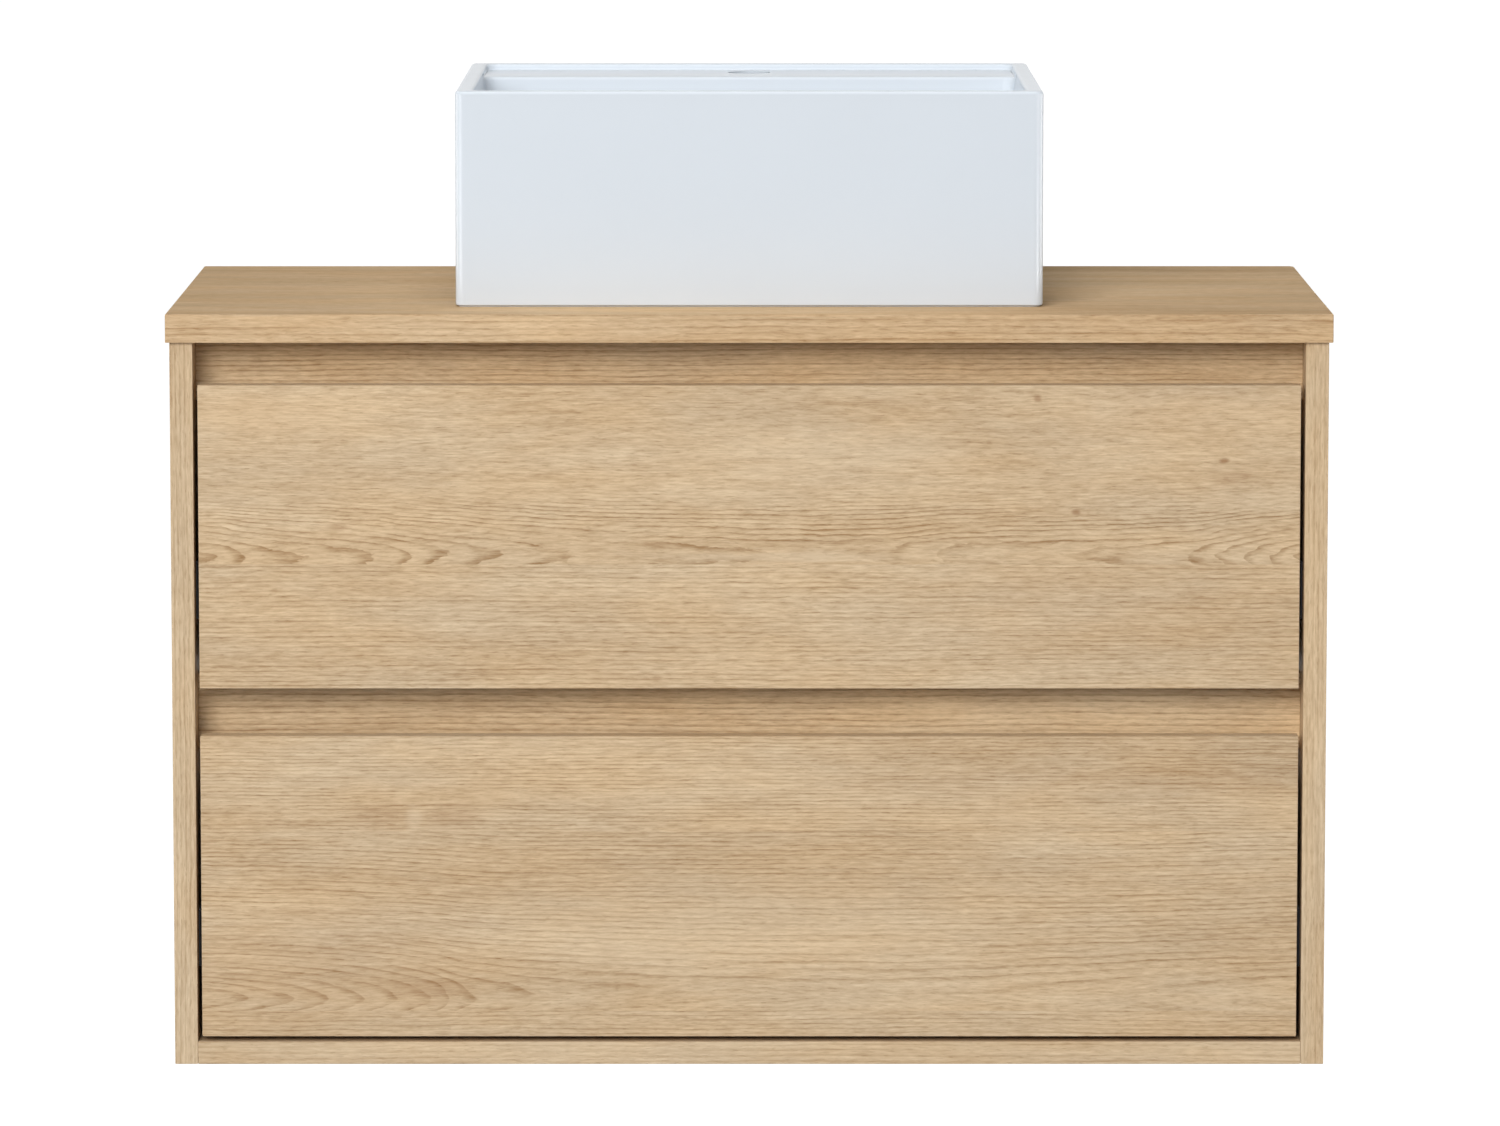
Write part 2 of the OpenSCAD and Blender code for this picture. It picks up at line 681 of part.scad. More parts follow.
// Runs from inside the trap's socket to the wall plane. A fine groove in front of the slip nut
// marks how far the pipe is pushed into the trap.
module trap_outlet_pipe() color(chrome) translate([0, pipe_y0, outlet_z]) rotate([-90, 0, 0])
    rotate_extrude() polygon([
        [pipe_r - pipe_wall, 0], [pipe_r, 0], [pipe_r, mark_at],
        [pipe_r - 0.3, mark_at], [pipe_r - 0.3, mark_at + 1],
        [pipe_r, mark_at + 1], [pipe_r, -pipe_y0], [pipe_r - pipe_wall, -pipe_y0]
    ]);

// ---- Drawer boxes --------------------------------------------------------------------

// Space of the bottom's groove around a box whose lower edge is at z
module floor_groove(z) block(
    [-box_x + box_t - groove_d, box_y0 + box_t - groove_d, z + floor_up - groove_fit],
    [box_x - box_t + groove_d, box_y1 - box_t + groove_d, z + floor_up + floor_t + groove_fit]);

// Places of the four screws that draw a drawer front to its box
module at_front_screws(z) for (x = [-0.72, -0.26, 0.26, 0.72])
    translate([x * box_x, box_y0 + box_t, z + box_h * 0.62]) rotate([90, 0, 0]) children();

module front_screw_holes(z) at_front_screws(z) screw_hole(box_t + screw_bite);

module drawer_front(z) color(oak) difference() {
    block([-front_x, case_y, z], [front_x, case_y + front_t, z + front_h]);
    front_screw_holes(z + box_lift);
}

module box_front(z) color(box_grey) difference() {
    block([-box_x + box_t, box_y0, z], [box_x - box_t, box_y0 + box_t, z + box_h]);
    floor_groove(z);
    front_screw_holes(z);
}

module box_side(z) color(box_grey) difference() {
    block([box_x - box_t, box_y0, z], [box_x, box_y1, z + box_h]);
    floor_groove(z);
}

module box_back(z, x0, x1) color(box_grey) difference() {
    block([x0, box_y1 - box_t, z], [x1, box_y1, z + box_h]);
    floor_groove(z);
}

module box_floor(z) block(
    [-box_x + box_t - groove_d + groove_fit, box_y0 + box_t - groove_d + groove_fit,
     z + floor_up],
    [box_x - box_t + groove_d - groove_fit, box_y1 - box_t + groove_d - groove_fit,
     z + floor_up + floor_t]);

module front_screws(z) color(steel) at_front_screws(z) screw(box_t + screw_bite);

// ---- Runners -------------------------------------------------------------------------

// A channel along Y, from u0 to u1 off the side panel, open at u1 when open_in is true
module channel(z, u0, u1, half, open_in, y0, y1) {
    s = open_in ? 1 : -1;
    web = open_in ? u0 : u1;
    lip = open_in ? u1 : u0;
    translate([in_x, y1, z]) rotate([90, 0, 0]) linear_extrude(y1 - y0) polygon([
        [-web, -half], [-lip, -half], [-lip, sheet - half], [-web - s * sheet, sheet - half],
        [-web - s * sheet, half - sheet], [-lip, half - sheet], [-lip, half], [-web, half]
    ]);
}

module runner_fixed(z) color(runner_black) both_sides()
    channel(z, 0, runner_t - 2.2, runner_h / 2, true, runner_y, runner_y + runner_l);

module runner_middle(z) color(runner_black) both_sides()
    channel(z, sheet + race, runner_t - 2.2, runner_h / 2 - sheet - race, true,
            runner_y, runner_end);

module runner_drawer(z) color(runner_black) both_sides()
    channel(z, 2 * (sheet + race), runner_t, runner_h / 2 - 2 * (sheet + race), false,
            runner_y, runner_end);

// ---- Upper drawer --------------------------------------------------------------------

upper_z = high_z + box_lift;
bay_y = waste_y - bay_reach;
bay_floor = upper_z + floor_up + floor_t;

module upper_drawer_front() drawer_front(high_z);
module upper_box_front() box_front(upper_z);
module upper_box_side_right() box_side(upper_z);
module upper_box_side_left() mirror([1, 0, 0]) box_side(upper_z);
module upper_box_back_right() box_back(upper_z, bay_w / 2 + bay_t, box_x - box_t);
module upper_box_back_left() box_back(upper_z, -box_x + box_t, -bay_w / 2 - bay_t);
module upper_front_screws() front_screws(upper_z);

module upper_box_bottom() color(box_grey) difference() {
    box_floor(upper_z);
    block([-bay_w / 2, bay_y, upper_z], [bay_w / 2, 1, bay_floor + 1]);
}

module trap_bay_front() color(box_grey)
    block([-bay_w / 2 - bay_t, bay_y - bay_t, bay_floor], [bay_w / 2 + bay_t, bay_y, upper_z + box_h]);

module bay_side() color(box_grey)
    block([bay_w / 2, bay_y, bay_floor], [bay_w / 2 + bay_t, box_y1, upper_z + box_h]);

module trap_bay_right() bay_side();
module trap_bay_left() mirror([1, 0, 0]) bay_side();

module upper_runner_fixed() runner_fixed(upper_z + runner_up);
module upper_runner_middle() runner_middle(upper_z + runner_up);
module upper_runner_drawer() runner_drawer(upper_z + runner_up);

// ---- Lower drawer --------------------------------------------------------------------

lower_z = low_z + box_lift;

module lower_drawer_front() drawer_front(low_z);
module lower_box_front() box_front(lower_z);
module lower_box_side_right() box_side(lower_z);
module lower_box_side_left() mirror([1, 0, 0]) box_side(lower_z);
module lower_box_back() box_back(lower_z, -box_x + box_t, box_x - box_t);
module lower_box_bottom() color(box_grey) box_floor(lower_z);
module lower_front_screws() front_screws(lower_z);
module lower_runner_fixed() runner_fixed(lower_z + runner_up);
module lower_runner_middle() runner_middle(lower_z + runner_up);
module lower_runner_drawer() runner_drawer(lower_z + runner_up);

side_panel_left();
side_panel_right();
bottom_panel();
top_recess_rail();
front_stretcher();
middle_recess_rail();
back_rail_upper();
back_rail_lower();
worktop();
worktop_brackets();
worktop_screws();
dowels();
cam_discs();
cam_bolts();
hanger_case_left();
hanger_case_right();
hanger_hook_left();
hanger_hook_right();
hanger_screws();
wall_plate_left();
wall_plate_right();
basin();
basin_sealant();
waste_body();
waste_top_ring();
waste_cartridge();
waste_plug();
waste_plug_seal();
waste_washer();
waste_lock_nut();
trap_inlet_nut();
trap_inlet_tube();
trap_body();
trap_cup();
trap_outlet_nut();
trap_outlet_pipe();
upper_runner_fixed();
upper_runner_middle();
upper_runner_drawer();
lower_runner_fixed();
lower_runner_middle();
lower_runner_drawer();
upper_drawer_front();
upper_box_front();
upper_box_side_left();
upper_box_side_right();
upper_box_bottom();
upper_box_back_left();
upper_box_back_right();
trap_bay_front();
trap_bay_left();
trap_bay_right();
upper_front_screws();
lower_drawer_front();
lower_box_front();
lower_box_side_left();
lower_box_side_right();
lower_box_bottom();
lower_box_back();
lower_front_screws();
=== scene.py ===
"""Wall-hung vanity unit: two handleless oak drawers, an oak worktop and a white counter-top basin."""

import json
import logging
import math
from collections.abc import Callable, Sequence
from dataclasses import dataclass, field
from enum import Enum

import bmesh
import bpy
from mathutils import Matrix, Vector


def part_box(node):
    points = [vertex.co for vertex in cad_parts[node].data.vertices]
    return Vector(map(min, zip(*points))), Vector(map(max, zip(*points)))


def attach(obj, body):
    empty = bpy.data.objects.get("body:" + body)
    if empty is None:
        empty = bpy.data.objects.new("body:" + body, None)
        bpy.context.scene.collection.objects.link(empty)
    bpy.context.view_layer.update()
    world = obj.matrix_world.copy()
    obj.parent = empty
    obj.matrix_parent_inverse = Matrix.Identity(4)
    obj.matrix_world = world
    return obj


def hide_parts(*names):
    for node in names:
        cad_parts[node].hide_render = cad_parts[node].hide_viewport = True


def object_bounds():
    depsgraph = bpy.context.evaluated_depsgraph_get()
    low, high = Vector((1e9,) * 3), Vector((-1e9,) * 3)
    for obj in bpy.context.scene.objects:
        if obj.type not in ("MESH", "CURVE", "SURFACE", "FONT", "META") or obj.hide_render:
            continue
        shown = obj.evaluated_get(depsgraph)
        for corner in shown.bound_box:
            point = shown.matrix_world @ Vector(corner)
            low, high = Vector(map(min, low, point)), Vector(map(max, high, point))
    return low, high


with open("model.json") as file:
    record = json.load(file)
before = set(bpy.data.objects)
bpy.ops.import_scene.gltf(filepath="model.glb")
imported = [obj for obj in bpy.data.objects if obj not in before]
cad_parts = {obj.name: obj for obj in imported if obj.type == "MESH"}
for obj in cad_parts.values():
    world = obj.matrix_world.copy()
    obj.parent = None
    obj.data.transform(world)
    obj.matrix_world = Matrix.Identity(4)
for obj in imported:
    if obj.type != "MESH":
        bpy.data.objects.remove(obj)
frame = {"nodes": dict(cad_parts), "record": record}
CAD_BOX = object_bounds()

LOG = logging.getLogger("vanity")
Colour = tuple[float, float, float]
Number = "Field | float"
Shade = "bpy.types.NodeSocket | Colour"
TOUCH = 1e-5
NEAR = 1e-4


# ---------------------------------------------------------------- shader graphs


class Field:
    """A number that varies over a surface, as one node's output."""

    def __init__(self, graph: "Graph", socket: bpy.types.NodeSocket) -> None:
        """Wraps a node's output.

        Args:
            graph: The graph that the node stands in.
            socket: The node's output.
        """
        self.graph = graph
        self.socket = socket

    def __add__(self, other: Number) -> "Field":
        """Sum."""
        return self.graph.math("ADD", self, other)

    def __radd__(self, other: float) -> "Field":
        """Sum with a plain number on the left."""
        return self.graph.math("ADD", other, self)

    def __sub__(self, other: Number) -> "Field":
        """Difference."""
        return self.graph.math("SUBTRACT", self, other)

    def __rsub__(self, other: float) -> "Field":
        """Difference from a plain number."""
        return self.graph.math("SUBTRACT", other, self)

    def __mul__(self, other: Number) -> "Field":
        """Product."""
        return self.graph.math("MULTIPLY", self, other)

    def __rmul__(self, other: float) -> "Field":
        """Product with a plain number on the left."""
        return self.graph.math("MULTIPLY", other, self)

    def __truediv__(self, other: Number) -> "Field":
        """Quotient."""
        return self.graph.math("DIVIDE", self, other)

    def __abs__(self) -> "Field":
        """Size without its sign."""
        return self.graph.math("ABSOLUTE", self)

    def root(self) -> "Field":
        """Square root."""
        return self.graph.math("SQRT", self)

    def fract(self) -> "Field":
        """Part after the whole number."""
        return self.graph.math("FRACT", self)

    def over(self, edge: float) -> "Field":
        """1 where the field is over the edge, and 0 elsewhere."""
        return self.graph.math("GREATER_THAN", self, edge)

    def smooth(self, low: float, high: float) -> "Field":
        """Rises softly from 0 at low to 1 at high.

        Args:
            low: The value that gives 0.
            high: The value that gives 1.

        Returns:
            The softened step.
        """
        node = self.graph.node("ShaderNodeMapRange", interpolation_type="SMOOTHSTEP")
        self.graph.put(node.inputs["Value"], self)
        node.inputs["From Min"].default_value = low
        node.inputs["From Max"].default_value = high
        return Field(self.graph, node.outputs["Result"])


class Graph:
    """The node tree of one finish."""

    def __init__(self, name: str) -> None:
        """Starts a material that holds one shader.

        Args:
            name: The material's name.
        """
        self.material = bpy.data.materials.new(name)
        self.material.use_nodes = True
        self.tree = self.material.node_tree
        self.tree.nodes.clear()
        self.shader = self.node("ShaderNodeBsdfPrincipled")
        out = self.node("ShaderNodeOutputMaterial")
        self.tree.links.new(self.shader.outputs["BSDF"], out.inputs["Surface"])
        self.place = self.node("ShaderNodeTexCoord")

    def node(self, kind: str, **settings: object) -> bpy.types.Node:
        """Adds a node.

        Args:
            kind: Blender's name for the node.
            settings: Properties to set on it.

        Returns:
            The node.
        """
        made = self.tree.nodes.new(kind)
        for name, value in settings.items():
            setattr(made, name, value)
        return made

    def put(self, socket: bpy.types.NodeSocket, value: object) -> None:
        """Feeds a socket with a field, another socket or a plain value.

        Args:
            socket: The input to feed.
            value: What it gets.
        """
        if isinstance(value, Field):
            self.tree.links.new(value.socket, socket)
        elif isinstance(value, bpy.types.NodeSocket):
            self.tree.links.new(value, socket)
        elif isinstance(value, tuple):
            socket.default_value = (*value, 1.0)
        else:
            socket.default_value = value

    def math(self, operation: str, *values: Number) -> Field:
        """Works one sum on fields and numbers.

        Args:
            operation: Blender's name for the sum.
            values: What it works on.

        Returns:
            The result.
        """
        made = self.node("ShaderNodeMath", operation=operation)
        for socket, value in zip(made.inputs, values):
            self.put(socket, value)
        return Field(self, made.outputs[0])

    def parts(self, output: str) -> list[Field]:
        """Splits a coordinate into its three numbers.

        Args:
            output: The coordinate, such as Object or Normal.

        Returns:
            The numbers along X, Y and Z.
        """
        split = self.node("ShaderNodeSeparateXYZ")
        self.tree.links.new(self.place.outputs[output], split.inputs[0])
        return [Field(self, o) for o in split.outputs]

    def noise(self, u: Number, v: Number, w: Number = 0.0, detail: float = 2.0, rough: float = 0.5) -> Field:
        """Makes soft noise between 0 and 1, with 0.5 as its mean.

        Args:
            u: First coordinate.
            v: Second coordinate.
            w: Third coordinate.
            detail: How many finer layers it holds.
            rough: How strong the finer layers are.

        Returns:
            The noise.
        """
        point = self.node("ShaderNodeCombineXYZ")
        for socket, value in zip(point.inputs, (u, v, w)):
            self.put(socket, value)
        made = self.node("ShaderNodeTexNoise")
        self.tree.links.new(point.outputs[0], made.inputs["Vector"])
        made.inputs["Scale"].default_value = 1.0
        made.inputs["Detail"].default_value = detail
        made.inputs["Roughness"].default_value = rough
        return Field(self, made.outputs[0])

    def curve(self, value: Field, points: Sequence[tuple[float, float]]) -> Field:
        """Follows a curve through points.

        Args:
            value: The field that runs along the curve.
            points: Pairs of value and result, in rising order.

        Returns:
            The curve's height.
        """
        low, high = points[0][0], points[-1][0]
        top = max(y for _, y in points)
        made = self.node("ShaderNodeFloatCurve")
        line = made.mapping.curves[0]
        while len(line.points) < len(points):
            line.points.new(0.5, 0.5)
        for spot, (x, y) in zip(line.points, points):
            spot.location = ((x - low) / (high - low), y / top)
        made.mapping.update()
        self.put(made.inputs["Value"], (value - low) / (high - low))
        return Field(self, made.outputs[0]) * top

    def steps(self, value: Field, cuts: Sequence[float], levels: Sequence[float]) -> Number:
        """Gives each stretch between cuts a level of its own.

        Args:
            value: The field that is cut into stretches.
            cuts: Where one stretch ends and the next begins, in rising order.
            levels: One level more than there are cuts.

        Returns:
            The levels as one field, or a plain number if there are no cuts.
        """
        total: Number = levels[0]
        for cut, before, after in zip(cuts, levels, levels[1:]):
            total = value.over(cut) * (after - before) + total
        return total

    def mix(self, share: Number, low: Shade, high: Shade, kind: str = "MIX") -> bpy.types.NodeSocket:
        """Mixes two colours.

        Args:
            share: 0 gives the first colour and 1 the second.
            low: The first colour.
            high: The second colour.
            kind: Blender's name for the way of mixing.

        Returns:
            The mixed colour.
        """
        made = self.node("ShaderNodeMix", data_type="RGBA", blend_type=kind)
        self.put(made.inputs[0], share)
        self.put(made.inputs[6], low)
        self.put(made.inputs[7], high)
        return made.outputs[2]

    def finish(self, colour: Shade, roughness: Number, height: Field | None = None, relief: float = 0.0,
               **plain: float) -> bpy.types.Material:
        """Feeds the shader and ends the material.

        Args:
            colour: Its base colour.
            roughness: Its roughness.
            height: The shape of its fine relief, from 0 to 1.
            relief: How deep the relief is, in metres.
            plain: Other sockets of the shader that are the same all over.

        Returns:
            The material.
        """
        self.put(self.shader.inputs["Base Color"], colour)
        self.put(self.shader.inputs["Roughness"], roughness)
        for name, value in plain.items():
            self.shader.inputs[name.replace("_", " ")].default_value = value
        if height is not None:
            bump = self.node("ShaderNodeBump")
            bump.inputs["Distance"].default_value = relief
            self.put(bump.inputs["Height"], height)
            self.tree.links.new(bump.outputs["Normal"], self.shader.inputs["Normal"])
        return self.material


# ---------------------------------------------------------------- finishes


class Grain(Enum):
    """How a board lies: the axes along its grain, across it and through the board."""

    LEVEL_UPRIGHT = (0, 2, 1)
    LEVEL_FLAT = (0, 1, 2)
    UPRIGHT = (2, 1, 0)


@dataclass(frozen=True)
class Plank:
    """One of the planks that an oak surface is laid up from.

    The rings' heart is a line along the grain, at a height across it and at a depth below the surface
    that changes along the grain. Where the depth changes, the rings end in arches.
    """

    end: float
    heart: float = -0.6
    depth: tuple[tuple[float, float], ...] = ((-0.5, 0.0), (0.5, 0.0))
    ring: float = 0.0052
    lines: float = 0.10
    tone: float = 0.0
    reach: float = 9.0
    tips: tuple[tuple[float, float], ...] = ()


@dataclass(frozen=True)
class Mark:
    """A knot, a pin mark or a stained patch in an oak surface."""

    along: float
    across: float
    length: float
    width: float
    stain: float


@dataclass(frozen=True)
class Oak:
    """Pale natural oak with a matt lacquer."""

    name: str
    grain: Grain
    planks: tuple[Plank, ...] = (Plank(9.0),)
    marks: tuple[Mark, ...] = ()
    seed: float = 0.0
    face: float = 0.0
    light: float = 0.0
    pointed: float = 0.004
    dashes: float = 1.0
    roughness: float = 0.55
    gloss: float = 0.10
    dark: Colour = (0.352, 0.216, 0.108)
    pale: Colour = (0.73, 0.562, 0.376)
    stain: Colour = (0.30, 0.15, 0.065)
    bleach: Colour = (0.76, 0.62, 0.44)

    def axes(self, graph: Graph) -> tuple[Field, Field]:
        """Finds the coordinates along and across the grain, which turn on the board's ends.

        Args:
            graph: The finish's graph.

        Returns:
            The coordinates along and across.
        """
        along, across, through = self.grain.value
        place, normal = graph.parts("Object"), graph.parts("Normal")
        end = abs(normal[along]).over(0.7)
        u = place[along] + end * (place[across] - place[along])
        v = place[across] + (place[through] - self.face) - end * place[across]
        return u, v

    def material(self) -> bpy.types.Material:
        """Builds the oak.

        Returns:
            The material.
        """
        g = Graph(self.name)
        u, v = self.axes(g)
        cuts = [p.end for p in self.planks[:-1]]
        seed = g.steps(v, cuts, [self.seed + 7.3 * i for i in range(len(self.planks))])
        waved = v + (g.noise(u * 3.0, v * 12.0, seed) - 0.5) * 0.008
        waved = waved + (g.noise(u * 24.0, v * 80.0, seed, 1.0) - 0.5) * 0.0014
        fibre = g.noise(u * 12.0, waved * 190.0, seed, 5.0, 0.74)
        streak = g.noise(u * 85.0, waved * 600.0, seed, 3.0, 0.55)
        pores = g.noise(u * 130.0, waved * 900.0, seed + 3.0, 1.0).smooth(0.60, 0.70)
        cloud = g.noise(u * 2.0, v * 16.0, seed, 3.0)
        light = (fibre - 0.5) * 0.80 + (streak - 0.5) * self.dashes + (cloud - 0.5) * 0.75
        light = light + g.steps(v, cuts, [0.70 + self.light + p.tone for p in self.planks])
        light = light - pores * 0.16 - self.rings(g, u, v, waved, seed, cuts)
        tint = g.noise(u * 7.0, v * 26.0, seed, 3.0)
        colour = g.mix(light, self.dark, self.pale)
        warm = g.mix(tint.smooth(0.25, 0.75), (0.985, 1.012, 1.030), (1.015, 0.990, 0.930))
        colour = g.mix(1.0, colour, warm, "MULTIPLY")
        for mark in self.marks:
            x, y = (u - mark.along) / mark.length, (v - mark.across) / mark.width + (fibre - 0.5) * 2.5
            spot = 1.0 - (x * x + y * y).root().smooth(0.25, 1.0)
            colour = g.mix(spot * abs(mark.stain), colour, self.stain if mark.stain > 0 else self.bleach)
        return g.finish(colour, self.roughness + (streak - 0.5) * 0.15, fibre + streak * 0.6 - pores, 0.00012,
                        Specular_IOR_Level=self.gloss)

    def rings(self, g: Graph, u: Field, v: Field, waved: Field, seed: Number, cuts: Sequence[float]) -> Field:
        """Draws the dark late wood of each year's ring.

        Args:
            g: The finish's graph.
            u: Coordinate along the grain.
            v: Coordinate across the grain.
            waved: The same with its slow waves.
            seed: Number that sets the planks apart.
            cuts: Where the planks meet.

        Returns:
            How much the rings darken each place.
        """
        depth = u * 0.0
        for i, plank in enumerate(self.planks):
            if max(d for _, d in plank.depth) > 0:
                here = g.curve(u, plank.depth)
                if i > 0:
                    here = here * v.over(cuts[i - 1])
                if i < len(cuts):
                    here = here * (1.0 - v.over(cuts[i]))
                depth = here + depth
        rise = waved - g.steps(v, cuts, [p.heart for p in self.planks])
        ragged = (g.noise(u * 30.0, v * 90.0, seed, 4.0, 0.6) - 0.5) * 0.0020
        uneven = (g.noise(u * 0.8, v * 55.0, seed + 9.0, 1.0) - 0.5) * 0.0028
        radius = (rise * rise + abs(rise) * self.pointed + depth * depth).root() + ragged + uneven
        phase = (radius / g.steps(v, cuts, [p.ring for p in self.planks])).fract()
        line = phase.smooth(0.30, 0.90) * (1.0 - phase.smooth(0.92, 1.0))
        line = line * line
        for plank in self.planks:
            if plank.tips:
                line = line * (1.0 - (1.0 - g.curve(u, plank.tips)) * (1.0 - abs(rise).smooth(0.002, 0.012)))
        near = g.steps(v, cuts, [p.lines for p in self.planks])
        reach = abs(rise) / g.steps(v, cuts, [p.reach for p in self.planks])
        faded = 1.0 - reach.smooth(0.5, 1.0) * 0.8
        broken = g.noise(u * 7.0, waved * 160.0, seed + 5.0, 2.0).smooth(0.30, 0.62)
        return line * near * faded * (broken * 0.85 + 0.25)


@dataclass(frozen=True)
class Plain:
    """A finish of one colour with fine variation, such as plastic, rubber, board or sheet metal."""

    name: str
    colour: Colour
    roughness: float = 0.4
    metallic: float = 0.0
    gloss: float = 0.5
    mottle: float = 0.06
    scale: float = 120.0
    relief: float = 0.00002

    def material(self) -> bpy.types.Material:
        """Builds the finish.

        Returns:
            The material.
        """
        g = Graph(self.name)
        x, y, z = g.parts("Object")
        fine = g.noise(x * self.scale, y * self.scale, z * self.scale, 3.0)
        cloud = g.noise(x * 9.0, y * 9.0, z * 9.0)
        low = tuple(c * (1.0 - self.mottle) for c in self.colour)
        high = tuple(min(1.0, c * (1.0 + self.mottle)) for c in self.colour)
        colour = g.mix(fine * 0.5 + cloud * 0.5, low, high)
        return g.finish(colour, (fine - 0.5) * 0.12 + self.roughness, fine, self.relief,
                        Metallic=self.metallic, Specular_IOR_Level=self.gloss)


@dataclass(frozen=True)
class Glaze:
    """White glazed ceramic with the slow unevenness of a fired glaze."""

    name: str = "glazed_ceramic"
    colour: Colour = (0.668, 0.722, 0.780)
    roughness: float = 0.22

    def material(self) -> bpy.types.Material:
        """Builds the glaze.

        Returns:
            The material.
        """
        g = Graph(self.name)
        x, y, z = g.parts("Object")
        slow = g.noise(x * 14.0, y * 14.0, z * 14.0, 1.0)
        pin = g.noise(x * 420.0, y * 420.0, z * 420.0, 1.0)
        deep = tuple(c * 0.985 for c in self.colour)
        colour = g.mix(slow, deep, self.colour)
        colour = g.mix(pin.smooth(0.78, 0.84) * 0.06, colour, (0.5, 0.5, 0.48))
        return g.finish(colour, slow * 0.05 + self.roughness, slow, 0.00008, Specular_IOR_Level=0.5)


@dataclass(frozen=True)
class Beech:
    """Steamed beech of the dowels, with its short dark flecks along the turned rod."""

    name: str = "beech"
    pale: Colour = (0.62, 0.44, 0.26)
    dark: Colour = (0.50, 0.33, 0.18)

    def material(self) -> bpy.types.Material:
        """Builds the beech.

        Returns:
            The material.
        """
        g = Graph(self.name)
        x, y, z = g.parts("Object")
        fleck = g.noise(x * 160.0, y * 900.0, z * 900.0, 3.0)
        colour = g.mix(fleck.smooth(0.35, 0.7), self.dark, self.pale)
        return g.finish(colour, 0.6, fleck, 0.00005)


# ---------------------------------------------------------------- shaping by hand


class Part(Enum):
    """What an edit picks."""

    VERT = "verts"
    EDGE = "edges"
    FACE = "faces"


def activate(obj: bpy.types.Object) -> None:
    """Leaves one object selected and active.

    Args:
        obj: The object.
    """
    if bpy.context.mode != "OBJECT":
        bpy.ops.object.mode_set(mode="OBJECT")
    bpy.ops.object.select_all(action="DESELECT")
    obj.select_set(True)
    bpy.context.view_layer.objects.active = obj


